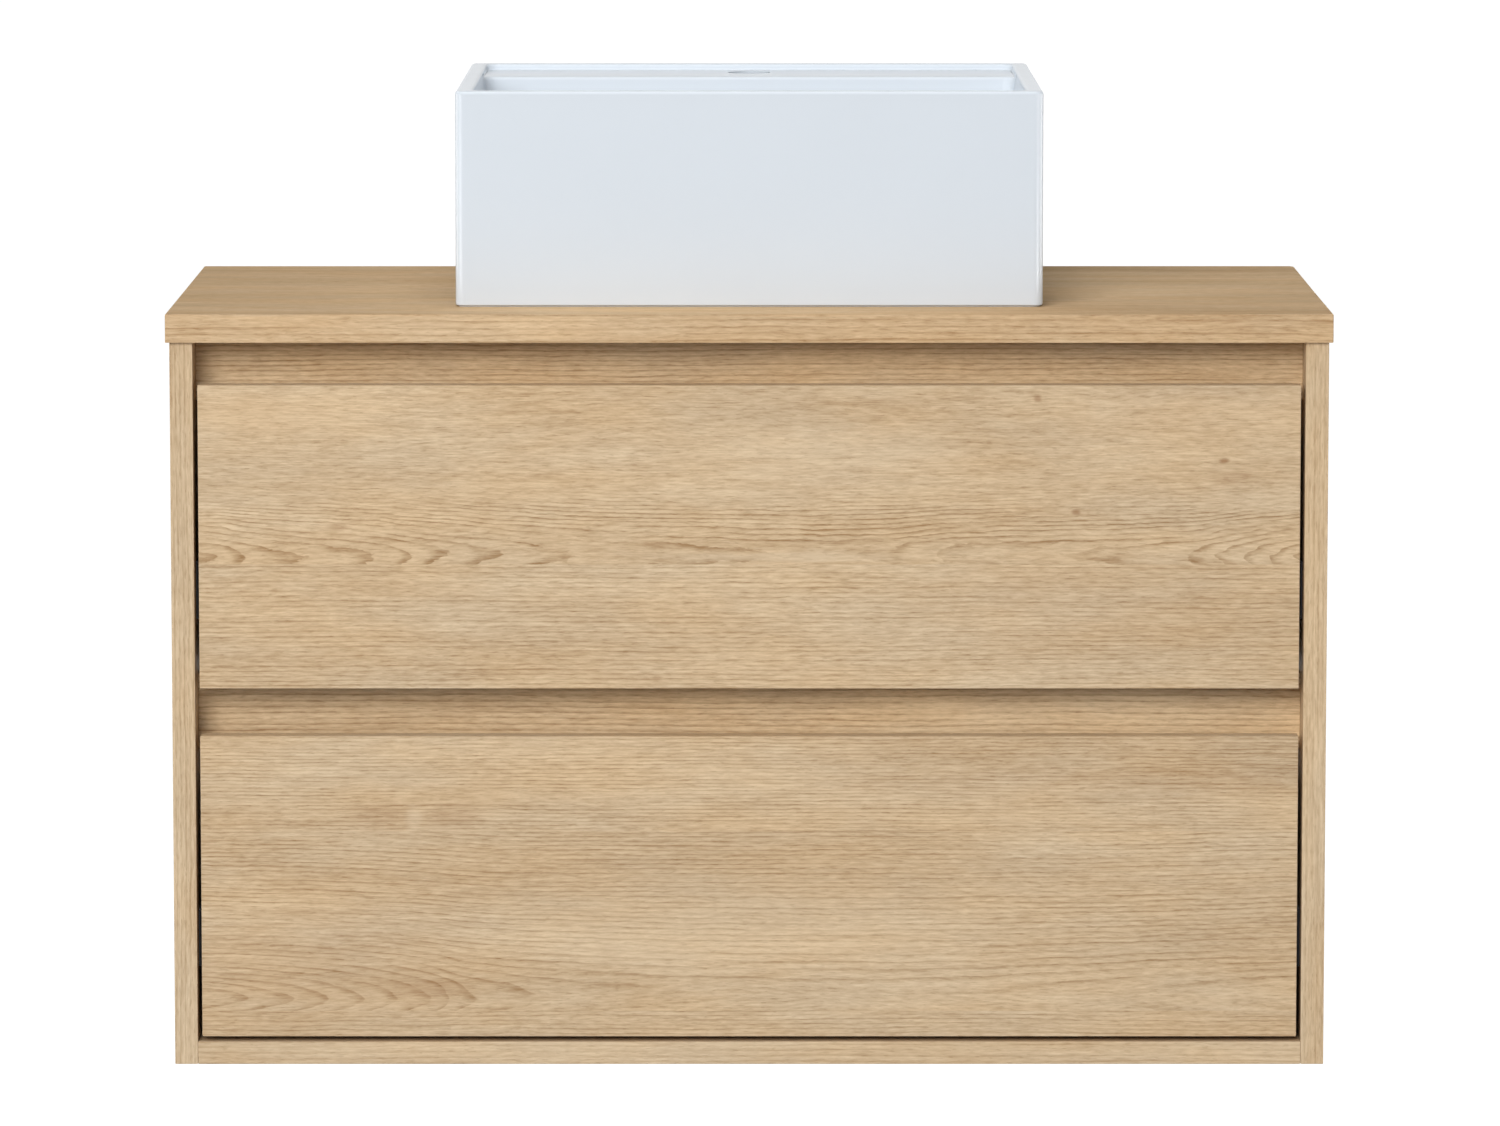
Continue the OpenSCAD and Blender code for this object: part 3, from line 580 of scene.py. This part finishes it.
class Shape:
    """A closed mesh that is shaped step by step."""

    def __init__(self, name: str, obj: bpy.types.Object) -> None:
        """Takes over a fresh primitive and puts its place into its mesh.

        Args:
            name: The piece's name.
            obj: The primitive.
        """
        self.obj = obj
        obj.name = obj.data.name = name
        activate(obj)
        bpy.ops.object.transform_apply(location=True, rotation=True, scale=True)

    @classmethod
    def block(cls, name: str, low: Sequence[float], high: Sequence[float]) -> "Shape":
        """Starts from a block.

        Args:
            name: The piece's name.
            low: Its lowest corner.
            high: Its highest corner.

        Returns:
            The shape.
        """
        low, high = Vector(low), Vector(high)
        bpy.ops.mesh.primitive_cube_add(size=1.0, location=(low + high) / 2, scale=high - low)
        return cls(name, bpy.context.object)

    @classmethod
    def rod(cls, name: str, centre: Sequence[float], radius: float, low: float, high: float, top: float | None = None,
            sides: int = 64) -> "Shape":
        """Starts from an upright rod or cone.

        Args:
            name: The piece's name.
            centre: X and Y of its axis.
            radius: Its radius at the bottom.
            low: Its lower end.
            high: Its upper end.
            top: Its radius at the top, where that differs.
            sides: How many sides it has.

        Returns:
            The shape.
        """
        bpy.ops.mesh.primitive_cone_add(vertices=sides, radius1=radius, radius2=radius if top is None else top,
                                        depth=high - low, location=(centre[0], centre[1], (low + high) / 2))
        return cls(name, bpy.context.object)

    def pick(self, part: Part, test: Callable[[object], bool]) -> int:
        """Enters edit mode and selects the parts that pass a test.

        Args:
            part: What to pick.
            test: Says whether one part is picked.

        Returns:
            How many were picked.
        """
        activate(self.obj)
        bpy.ops.object.mode_set(mode="EDIT")
        bpy.ops.mesh.select_mode(type=part.name)
        bpy.ops.mesh.select_all(action="DESELECT")
        mesh = bmesh.from_edit_mesh(self.obj.data)
        mesh.normal_update()
        chosen = [p for p in getattr(mesh, part.value) if test(p)]
        for p in chosen:
            p.select_set(True)
        mesh.select_flush_mode()
        bmesh.update_edit_mesh(self.obj.data)
        return len(chosen)

    def bevel(self, test: Callable[[object], bool], width: float, segments: int) -> "Shape":
        """Rounds the edges that pass a test.

        Args:
            test: Says whether an edge is rounded.
            width: How wide the rounding is.
            segments: How many faces it has across.

        Returns:
            The shape itself.
        """
        self.pick(Part.EDGE, test)
        bpy.ops.mesh.bevel(offset=width, offset_type="OFFSET", segments=segments, profile=0.5, affect="EDGES")
        bpy.ops.object.mode_set(mode="OBJECT")
        return self

    def taper(self, height: float, shares: Sequence[float]) -> "Shape":
        """Draws in the corners that lie at one height.

        Args:
            height: The height of the corners.
            shares: How much of their spread is left along X and Y.

        Returns:
            The shape itself.
        """
        self.pick(Part.VERT, lambda p: abs(p.co.z - height) < TOUCH)
        bpy.ops.transform.resize(value=(shares[0], shares[1], 1.0))
        bpy.ops.object.mode_set(mode="OBJECT")
        return self

    def extend(self, test: Callable[[object], bool], way: Sequence[float]) -> "Shape":
        """Draws faces out into new walls.

        Args:
            test: Says whether a face is drawn out.
            way: How far and where to.

        Returns:
            The shape itself.
        """
        self.pick(Part.FACE, test)
        bpy.ops.mesh.extrude_region_move(TRANSFORM_OT_translate={"value": tuple(way)})
        bpy.ops.object.mode_set(mode="OBJECT")
        return self

    def cut(self, *tools: "Shape") -> "Shape":
        """Takes other shapes away from this one, and uses them up.

        Args:
            tools: The shapes to take away.

        Returns:
            The shape itself.
        """
        for tool in tools:
            activate(self.obj)
            step = self.obj.modifiers.new("cut", "BOOLEAN")
            step.operation, step.solver, step.object = "DIFFERENCE", "EXACT", tool.obj
            bpy.ops.object.modifier_apply(modifier=step.name)
            bpy.data.objects.remove(tool.obj, do_unlink=True)
        return self

    def arris(self, width: float, segments: int = 2, angle: float = 40.0) -> "Shape":
        """Eases every sharp edge.

        Args:
            width: How wide the easing is.
            segments: How many faces it has across.
            angle: The least turn of a sharp edge, in degrees.

        Returns:
            The shape itself.
        """
        activate(self.obj)
        step = self.obj.modifiers.new("arris", "BEVEL")
        step.width, step.segments, step.limit_method, step.angle_limit = width, segments, "ANGLE", math.radians(angle)
        bpy.ops.object.modifier_apply(modifier=step.name)
        return self

    def shade(self, angle: float = 45.0) -> "Shape":
        """Shades round faces smoothly and keeps flat faces flat.

        Args:
            angle: The least turn of an edge that stays sharp, in degrees.

        Returns:
            The shape itself.
        """
        activate(self.obj)
        bpy.ops.object.shade_smooth_by_angle(angle=math.radians(angle))
        step = self.obj.modifiers.new("shade", "WEIGHTED_NORMAL")
        step.keep_sharp = True
        bpy.ops.object.modifier_apply(modifier=step.name)
        return self

    def settle(self, body: str, slot: str, material: bpy.types.Material, *nodes: str) -> bpy.types.Object:
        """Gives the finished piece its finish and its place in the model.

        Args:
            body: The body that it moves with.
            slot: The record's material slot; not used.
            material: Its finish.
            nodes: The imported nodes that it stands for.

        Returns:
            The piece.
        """
        self.obj.data.materials.clear()
        self.obj.data.materials.append(material)
        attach(self.obj, body)
        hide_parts(*nodes)
        LOG.info("%s: %d faces", self.obj.name, len(self.obj.data.polygons))
        return self.obj


def upright(edge: "bmesh.types.BMEdge") -> bool:
    """Whether an edge runs up, or nearly so."""
    way = edge.verts[1].co - edge.verts[0].co
    return abs(way.z) > 0.8 * way.length


def level_at(height: float) -> Callable[[object], bool]:
    """Makes a test for edges that lie at one height.

    Args:
        height: The height.

    Returns:
        The test.
    """
    return lambda e: all(abs(v.co.z - height) < TOUCH for v in e.verts)


# ---------------------------------------------------------------- the vanity unit


@dataclass(frozen=True)
class Board:
    """A flat board with eased arrises."""

    node: str
    body: str
    slot: str
    finish: Oak
    arris: float = 0.0007

    def build(self, *holes: tuple[float, float, float]) -> bpy.types.Object:
        """Models the board in its node's box.

        Args:
            holes: Round holes through it, each as X, Y and radius.

        Returns:
            The board.
        """
        low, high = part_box(self.node)
        shape = Shape.block(f"{self.node}_board", low, high)
        for x, y, radius in holes:
            shape.cut(Shape.rod("tool", (x, y), radius, low.z - 0.01, high.z + 0.01))
        shape.arris(self.arris).shade()
        return shape.settle(self.body, self.slot, self.finish.material(), self.node)


@dataclass(frozen=True)
class Cabinet:
    """The carcass and the worktop."""

    waste: tuple[float, float, float] = (0.0, -0.2465, 0.025)
    hoses: tuple[float, float, float] = (0.0, -0.060, 0.020)
    boards: tuple[Board, ...] = (
        Board("side_panel_left", "cabinet", "oak_carcass", Oak(
            "oak_side_left", Grain.UPRIGHT, planks=(Plank(9.0, ring=0.0037, lines=0.28),), seed=3.1, dashes=0.9)),
        Board("side_panel_right", "cabinet", "oak_carcass", Oak(
            "oak_side_right", Grain.UPRIGHT, planks=(Plank(9.0, ring=0.0041, lines=0.25),), seed=5.7, dashes=0.9)),
        Board("bottom_panel", "cabinet", "oak_carcass", Oak(
            "oak_bottom", Grain.LEVEL_FLAT, planks=(Plank(9.0, ring=0.0043, lines=0.25),), seed=8.2, dashes=0.8,
            light=0.08)),
        # The two rails get warmer, more saturated oak colours than the other boards: painted warm shade of the
        # recesses they stand in.
        Board("top_recess_rail", "cabinet", "oak_carcass", Oak(
            "oak_rail_top", Grain.LEVEL_UPRIGHT, planks=(Plank(9.0, ring=0.0040, lines=0.40),), seed=11.9,
            dashes=1.0, dark=(0.345, 0.200, 0.095), pale=(0.77, 0.574, 0.360))),
        Board("middle_recess_rail", "cabinet", "oak_carcass", Oak(
            "oak_rail_middle", Grain.LEVEL_UPRIGHT, planks=(Plank(9.0, ring=0.0046, lines=0.40),), seed=13.3,
            dashes=1.0, dark=(0.345, 0.200, 0.095), pale=(0.77, 0.574, 0.360))),
    )
    worktop: Board = Board("worktop", "cabinet", "oak_worktop", Oak(
        "oak_worktop", Grain.LEVEL_FLAT, seed=17.7, dashes=0.8,
        # The first plank covers only the worktop's front face, plus a strip of its underside; its tone of -0.08 is
        # painted shade on that front face.
        planks=(Plank(-0.3795, ring=0.0050, lines=0.30, tone=-0.08), Plank(9.0, ring=0.0050, lines=0.30)),
        gloss=0.0, dark=(0.368, 0.214, 0.100), pale=(0.766, 0.566, 0.360)), 0.0010)

    def build(self) -> None:
        """Models the boards that show."""
        for board in self.boards:
            board.build()
        self.worktop.build(self.waste, self.hoses)


@dataclass(frozen=True)
class Fronts:
    """The two drawer fronts with their own figure in the oak."""

    upper: Board = Board("upper_drawer_front", "upper_drawer", "oak_front", Oak(
        "oak_front_upper", Grain.LEVEL_UPRIGHT, seed=21.3, face=-0.456, dashes=1.1,
        planks=(
            Plank(-0.1135, ring=0.0038, lines=0.30),
            Plank(9.0, heart=-0.1065, ring=0.0017, lines=0.50, reach=0.056, depth=(
                (-0.45, 0.0418), (-0.418, 0.0423), (-0.39, 0.0440), (-0.345, 0.0457), (-0.29, 0.0474),
                (-0.265, 0.0491), (-0.235, 0.0508), (-0.195, 0.0525), (-0.145, 0.0542), (-0.005, 0.0558),
                (0.05, 0.0564), (0.11, 0.0558), (0.16, 0.0542), (0.275, 0.0525), (0.35, 0.0508), (0.37, 0.0491),
                (0.39, 0.0474), (0.41, 0.0457), (0.45, 0.0430)), tips=(
                (-0.45, 1.0), (-0.16, 1.0), (-0.11, 0.45), (-0.03, 0.80), (0.02, 0.40), (0.10, 0.35), (0.14, 0.6),
                (0.17, 0.20), (0.24, 0.20), (0.27, 0.65), (0.34, 1.0), (0.45, 1.0))),
        ),
        marks=(
            Mark(0.224, 0.016, 0.0045, 0.0035, 0.5),
            Mark(0.369, -0.032, 0.0060, 0.0040, 0.75),
            Mark(0.375, -0.047, 0.0220, 0.0080, 0.20),
            Mark(0.254, -0.073, 0.0050, 0.0036, 0.6),
            Mark(-0.320, -0.084, 0.0110, 0.0040, 0.30),
            Mark(-0.072, -0.203, 0.0060, 0.0045, 0.3),
            Mark(0.250, -0.150, 0.2000, 0.0600, 0.07),
            Mark(0.370, 0.010, 0.1500, 0.0300, 0.08),
            Mark(-0.390, 0.004, 0.1000, 0.0240, 0.09),
            Mark(0.060, -0.025, 0.1600, 0.0300, -0.22),
            Mark(0.020, -0.108, 0.1200, 0.0070, -0.35),
        )))
    lower: Board = Board("lower_drawer_front", "lower_drawer", "oak_front", Oak(
        "oak_front_lower", Grain.LEVEL_UPRIGHT, seed=37.9, face=-0.456,
        planks=(
            Plank(-0.4655, ring=0.0036, lines=0.30),
            Plank(-0.3235, heart=-0.4560, ring=0.0034, lines=0.36, reach=0.50, depth=(
                (-0.45, 0.012), (-0.38, 0.018), (-0.31, 0.026), (-0.25, 0.034), (-0.21, 0.041), (-0.10, 0.046),
                (0.05, 0.048), (0.20, 0.046), (0.45, 0.038)), tips=(
                (-0.45, 1.0), (-0.19, 1.0), (-0.15, 0.2), (0.45, 0.2))),
            Plank(9.0, ring=0.0029, lines=0.34, tone=-0.01),
        ),
        marks=(
            Mark(-0.288, -0.312, 0.034, 0.016, 0.17),
            Mark(-0.232, -0.312, 0.030, 0.015, 0.22),
            Mark(-0.262, -0.313, 0.010, 0.013, -0.30),
            Mark(-0.250, -0.450, 0.042, 0.013, 0.22),
            Mark(-0.340, -0.430, 0.200, 0.060, 0.12),
            Mark(0.250, -0.285, 0.260, 0.020, 0.08),
            Mark(-0.020, -0.400, 0.300, 0.060, -0.16),
        )))

    def build(self) -> None:
        """Models both fronts."""
        self.upper.build()
        self.lower.build()


@dataclass(frozen=True)
class Basin:
    """The rectangular counter-top basin, cast in one piece with a bowl, a tap deck and a hollow foot."""

    wall: float = 0.013
    corner: float = 0.007
    inner: float = 0.010
    rim_round: float = 0.0026
    cove: float = 0.0016
    deck_drop: float = 0.005
    deck_depth: float = 0.095
    deck_wall: float = 0.012
    floor_size: tuple[float, float] = (0.390, 0.225)
    floor_drop: float = 0.130
    floor_round: float = 0.009
    fall: float = 0.008
    fall_radius: float = 0.105
    foot: float = 0.018
    boss: float = 0.042
    waste: float = 0.023
    flange: float = 0.0335
    tap: float = 0.0175
    tap_back: float = 0.035
    foot_round: float = 0.0015
    deck_round: float = 0.003
    clear: float = 0.020
    lap: float = 0.0005
    keen: float = 42.0

    def build(self) -> bpy.types.Object:
        """Models the basin from a block and the hollows in it.

        Returns:
            The basin.
        """
        low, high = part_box("basin")
        left, front = low.x + self.wall, low.y + self.wall
        right, back = high.x - self.wall, high.y - self.wall
        deck, top = high.z - self.deck_drop, high.z + self.clear
        bowl_back = back - self.deck_depth
        waste = ((left + right) / 2, (front + bowl_back) / 2)
        shape = Shape.block("basin_glazed", low, high)
        shape.bevel(upright, self.corner, 6).bevel(level_at(high.z), self.rim_round, 4)
        shape.bevel(level_at(low.z), self.foot_round, 2)
        recess = Shape.block("recess", (left, front, deck), (right, back, top))
        recess.bevel(upright, self.inner, 8).bevel(level_at(deck), self.cove, 3)
        shape.cut(recess, self.bowl(left, right, front, bowl_back, deck, top, high.z - self.floor_drop))
        floor = high.z - self.floor_drop
        fall = Shape.rod("fall", waste, self.flange, floor - self.fall, floor + self.lap, self.fall_radius)
        shape.cut(fall, Shape.rod("waste", waste, self.waste, low.z, floor))
        shape.cut(Shape.rod("tap", (waste[0], back - self.tap_back), self.tap, deck - self.clear, top, sides=48))
        shape.cut(*self.underside(low, left, right, front, back, bowl_back, waste, deck))
        shape.bevel(lambda e: level_at(high.z)(e) and self.inside(e, left, right, front, back), self.rim_round, 4)
        shape.bevel(lambda e: level_at(deck)(e) and all(
            bowl_back - self.inner - NEAR < v.co.y < bowl_back + NEAR and abs(v.co.x) < right - TOUCH
            for v in e.verts), self.deck_round, 3)
        shape.shade(self.keen)
        return shape.settle("cabinet", "glazed_ceramic", Glaze().material(), "basin")

    @staticmethod
    def inside(edge: "bmesh.types.BMEdge", left: float, right: float, front: float, back: float) -> bool:
        """Whether an edge lies on the inner side of the rim."""
        return all(left - NEAR < v.co.x < right + NEAR and front - NEAR < v.co.y < back + NEAR for v in edge.verts)

    def bowl(self, left: float, right: float, front: float, back: float, deck: float, top: float,
             floor: float) -> Shape:
        """Makes the hollow of the bowl.

        Args:
            left: Its left wall at the deck's height.
            right: Its right wall there.
            front: Its front wall there.
            back: Its back wall there.
            deck: The deck's height.
            top: The height up to which it cuts.
            floor: The height of its floor.

        Returns:
            The hollow.
        """
        hollow = Shape.block("bowl", (left, front, floor), (right, back, deck))
        hollow.taper(floor, (self.floor_size[0] / (right - left), self.floor_size[1] / (back - front)))
        hollow.extend(lambda f: f.normal.z > 0.9, (0, 0, top - deck))
        hollow.bevel(upright, self.inner, 8)
        return hollow.bevel(level_at(floor), self.floor_round, 6)

    def underside(self, low: Vector, left: float, right: float, front: float, back: float, bowl_back: float,
                  waste: tuple[float, float], deck: float) -> tuple[Shape, Shape]:
        """Makes the hollows under the bowl and under the tap deck.

        Args:
            low: The basin's lowest corner.
            left: The left wall's inner face.
            right: The right wall's inner face.
            front: The front wall's inner face.
            back: The back wall's inner face.
            bowl_back: The bowl's back edge at the deck.
            waste: X and Y of the waste.
            deck: The deck's height.

        Returns:
            The hollows.
        """
        under = low.z - self.clear
        foot = Shape.block("foot", (left, front, under), (right, back, low.z + self.foot))
        foot.cut(Shape.rod("boss", waste, self.boss, under - self.clear, low.z + self.foot + self.clear))
        tail = Shape.block("tail", (left, bowl_back + self.deck_wall, under), (right, back, deck - self.deck_wall))
        return foot, tail


PACKED: dict[str, object] = {
    "runner_steel": Plain("runner_black", (0.045, 0.045, 0.05), 0.40, mottle=0.15, scale=500.0),
    "zinc_steel": Plain("zinc_steel", (0.46, 0.47, 0.49), 0.38, 1.0, mottle=0.12, scale=260.0),
    "hanger_plastic": Plain("hanger_plastic", (0.66, 0.66, 0.65), 0.5, mottle=0.03, scale=900.0),
    "white_plastic": Plain("white_plastic", (0.78, 0.78, 0.77), 0.35, mottle=0.02, scale=300.0),
    "rubber": Plain("rubber", (0.03, 0.03, 0.03), 0.75, mottle=0.2, scale=600.0, gloss=0.3),
    "sealant": Plain("sealant", (0.55, 0.54, 0.52), 0.35, mottle=0.04, scale=90.0),
    "chrome": Plain("chrome", (0.62, 0.63, 0.65), 0.08, 1.0, mottle=0.02, scale=60.0, relief=0.000004),
    "drawer_board": Plain("drawer_board", (0.62, 0.62, 0.60), 0.45, mottle=0.04, scale=700.0, relief=0.00004),
    "oak_hidden": Oak("oak_hidden", Grain.LEVEL_UPRIGHT, seed=51.0, light=-0.06),
    "beech": Beech(),
}


@dataclass(frozen=True)
class Fittings:
    """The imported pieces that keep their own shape: drawer boxes, runners, hangers, waste and trap."""

    finishes: dict[str, object] = field(default_factory=lambda: PACKED)

    def dress(self, shown: set[str]) -> None:
        """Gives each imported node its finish.

        Args:
            shown: The nodes that are modelled anew and need none.
        """
        made: dict[str, bpy.types.Material] = {}
        slots = self.assignments()
        for name, node in frame["nodes"].items():
            slot = slots[name]
            if name in shown or slot not in self.finishes:
                continue
            if slot not in made:
                made[slot] = self.finishes[slot].material()
            node.data.materials.clear()
            node.data.materials.append(made[slot])
        LOG.info("fittings: %d finishes", len(made))

    @staticmethod
    def assignments() -> dict[str, str]:
        """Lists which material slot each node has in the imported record."""
        return {part["node"]: part["material_slot"] for part in frame["record"]["subparts"]}


@dataclass(frozen=True)
class Lamp:
    """One round soft lamp that faces the unit."""

    name: str
    side: float
    height: float
    power: float
    size: float
    distance: float
    mirrored: bool = True
    lights: bool = True

    def build(self) -> None:
        """Makes the lamp, its side in degrees to the left and its height in degrees above the level."""
        data = bpy.data.lights.new(self.name, "AREA")
        data.shape, data.size, data.energy = "DISK", self.size, self.power
        lamp = bpy.data.objects.new(self.name, data)
        side, height = math.radians(self.side), math.radians(self.height)
        away = Vector((-math.sin(side) * math.cos(height), -math.cos(side) * math.cos(height), math.sin(height)))
        lamp.location = (CAD_BOX[0] + CAD_BOX[1]) / 2 + away * self.distance
        lamp.rotation_mode = "QUATERNION"
        lamp.rotation_quaternion = away.to_track_quat("Z", "Y")
        lamp.visible_camera = False
        lamp.visible_glossy, lamp.visible_diffuse = self.mirrored, self.lights
        bpy.context.scene.collection.objects.link(lamp)


@dataclass(frozen=True)
class Studio:
    """A plain pale studio: a soft key lamp from the front left, side and top lamps, and two strips for gloss."""

    ambient: float = 0.12
    lamps: tuple[Lamp, ...] = (
        Lamp("key", 17.5, 22.5, 695.0, 5.6, 9.0, False),
        Lamp("left", 102.0, -3.0, 60.0, 3.0, 5.0),
        Lamp("right", -98.0, -3.0, 120.0, 3.0, 5.0),
        Lamp("top", 0.0, 80.0, 46.0, 2.5, 4.0),
        Lamp("left_strip", 50.0, -18.0, 200.0, 3.2, 5.0, lights=False),
        Lamp("right_strip", -50.0, -18.0, 265.0, 3.2, 5.0, lights=False),
    )
    floor_height: float = -1.60
    floor_paint: float = 0.50
    lens: float = 193.2
    stand: tuple[float, float, float] = (0.0006, -6.6761, 0.6291)
    tilt: float = 0.11864

    def build(self) -> None:
        """Makes the camera, the lamps, the world and the floor."""
        self.camera()
        for lamp in self.lamps:
            lamp.build()
        self.world()
        self.floor()
        bpy.context.scene.view_settings.view_transform = "Standard"

    def camera(self) -> None:
        """Makes the camera."""
        data = bpy.data.cameras.new("camera")
        data.lens, data.sensor_width = self.lens, 36.0
        data.clip_end = 200.0
        eye = bpy.data.objects.new("camera", data)
        eye.location = self.stand
        eye.rotation_euler = (math.pi / 2 - self.tilt, 0.0, 0.0)
        bpy.context.scene.collection.objects.link(eye)
        bpy.context.scene.camera = eye

    def seen(self, tree: bpy.types.NodeTree) -> bpy.types.NodeSocket:
        """Finds the rays that show a backdrop: from the camera, off gloss and through glass.

        Args:
            tree: The tree to add the nodes to.

        Returns:
            1 for such a ray and 0 for any other.
        """
        path = tree.nodes.new("ShaderNodeLightPath")
        found = path.outputs["Is Camera Ray"]
        for name in ("Is Glossy Ray", "Is Transmission Ray"):
            either = tree.nodes.new("ShaderNodeMath")
            either.operation = "MAXIMUM"
            tree.links.new(found, either.inputs[0])
            tree.links.new(path.outputs[name], either.inputs[1])
            found = either.outputs[0]
        return found

    def world(self) -> None:
        """Makes a white world that lights the unit more softly than it looks."""
        world = bpy.data.worlds.new("studio")
        world.use_nodes = True
        bpy.context.scene.world = world
        tree = world.node_tree
        glow = next(n for n in tree.nodes if n.type == "BACKGROUND")
        glow.inputs["Color"].default_value = (1.0, 1.0, 1.0, 1.0)
        level = tree.nodes.new("ShaderNodeMapRange")
        level.inputs["To Min"].default_value = self.ambient
        level.inputs["To Max"].default_value = 1.0
        tree.links.new(self.seen(tree), level.inputs["Value"])
        tree.links.new(level.outputs["Result"], glow.inputs["Strength"])

    def floor(self) -> None:
        """Makes the pale floor far below the unit."""
        bpy.ops.mesh.primitive_plane_add(size=160.0, location=(0.0, 0.0, self.floor_height))
        floor = bpy.context.object
        floor.name = "floor"
        paint = bpy.data.materials.new("floor")
        paint.use_nodes = True
        tree = paint.node_tree
        shader = next(n for n in tree.nodes if n.type == "BSDF_PRINCIPLED")
        shader.inputs["Base Color"].default_value = (self.floor_paint, self.floor_paint, self.floor_paint, 1.0)
        shader.inputs["Roughness"].default_value = 0.9
        shader.inputs["Specular IOR Level"].default_value = 0.0
        shader.inputs["Emission Color"].default_value = (1.0, 1.0, 1.0, 1.0)
        lift = tree.nodes.new("ShaderNodeMath")
        lift.operation = "MULTIPLY"
        tree.links.new(self.seen(tree), lift.inputs[0])
        lift.inputs[1].default_value = 0.98
        tree.links.new(lift.outputs[0], shader.inputs["Emission Strength"])
        floor.data.materials.append(paint)


def main() -> None:
    """Builds the studio and the vanity unit."""
    logging.basicConfig(level=logging.INFO, format="%(name)s %(message)s")
    Studio().build()
    LOG.info("studio ready")
    Cabinet().build()
    Fronts().build()
    Basin().build()
    renewed = {"side_panel_left", "side_panel_right", "bottom_panel", "top_recess_rail", "middle_recess_rail",
               "worktop", "upper_drawer_front", "lower_drawer_front", "basin"}
    Fittings().dress(renewed)


if __name__ == "__main__":
    main()
